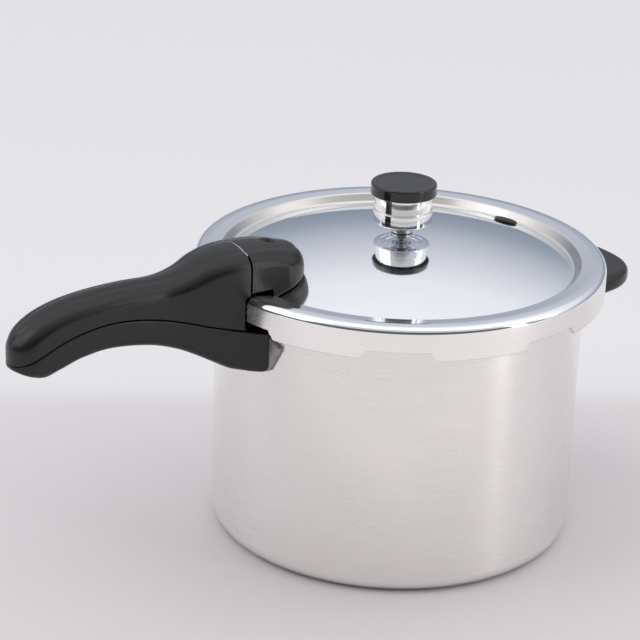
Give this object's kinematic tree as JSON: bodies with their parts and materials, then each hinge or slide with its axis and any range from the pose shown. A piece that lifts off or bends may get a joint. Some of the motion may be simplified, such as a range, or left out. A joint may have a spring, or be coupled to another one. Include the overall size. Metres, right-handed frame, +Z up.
{
  "type": "stovetop pressure cooker",
  "caption": "Polished aluminium stovetop pressure cooker with a bayonet cover, black long handle, helper handle and weighted regulator on a vent pipe.",
  "frame": {"origin": "centre of the pot's flat underside, on the surface it stands on", "axes": "+Z up through the regulator, -X along the long handles, +X towards the helper handle"},
  "size_m": [0.4302, 0.247, 0.2168],
  "materials": {
    "aluminium": "bright turned aluminium, fine vertical and circumferential polish marks",
    "polished_aluminium": "mirror-polished aluminium cover",
    "chrome": "bright chrome plating",
    "steel": "plain zinc-grey steel hardware",
    "black_phenolic": "black moulded phenolic, satin with glossy rounded edges",
    "black_gloss": "glossy black moulded plastic",
    "black_rubber": "black moulded rubber"
  },
  "bodies": {
    "pot": {"pot_body": "aluminium", "body_handle": "black_phenolic", "body_handle_bracket": "steel", "body_handle_washer": "steel", "body_handle_screw": "steel", "helper_handle": "black_phenolic", "helper_handle_bracket": "steel", "helper_handle_washer": "steel", "helper_handle_screw": "steel"},
    "seal": {"sealing_ring": "black_rubber"},
    "cover": {"cover": "polished_aluminium", "cover_handle_grip": "black_phenolic", "cover_handle_nose": "black_phenolic", "handle_trim_strip": "steel", "cover_handle_bracket": "steel", "cover_handle_washer_1": "steel", "cover_handle_screw_1": "steel", "cover_handle_washer_2": "steel", "cover_handle_screw_2": "steel", "cover_lock_gasket": "black_rubber", "overpressure_plug": "black_rubber", "vent_pipe": "steel", "vent_pipe_nut": "steel"},
    "regulator": {"regulator_weight": "chrome", "regulator_seat": "steel", "regulator_cap": "black_gloss"},
    "lock": {"cover_lock_pin": "steel"},
    "rack": {"cooking_rack": "aluminium"}
  },
  "joints": [
    {"name": "cover_lift", "type": "slide", "parent": "pot", "child": "seal", "axis": [0, 0, 1], "range_m": [0, 0.12]},
    {"name": "cover_turn", "type": "hinge", "parent": "seal", "child": "cover", "pos_m": [0, 0, 0.173], "axis": [0, 0, 1], "range_deg": [0, 22.5]},
    {"name": "regulator_lift", "type": "slide", "parent": "cover", "child": "regulator", "axis": [0, 0, 1], "range_m": [0, 0.03]},
    {"name": "lock_rise", "type": "slide", "parent": "cover", "child": "lock", "axis": [0, 0, 1], "range_m": [0, 0.0045]},
    {"name": "rack_lift", "type": "slide", "parent": "pot", "child": "rack", "axis": [0, 0, 1], "range_m": [0, 0.135]}
  ]
}
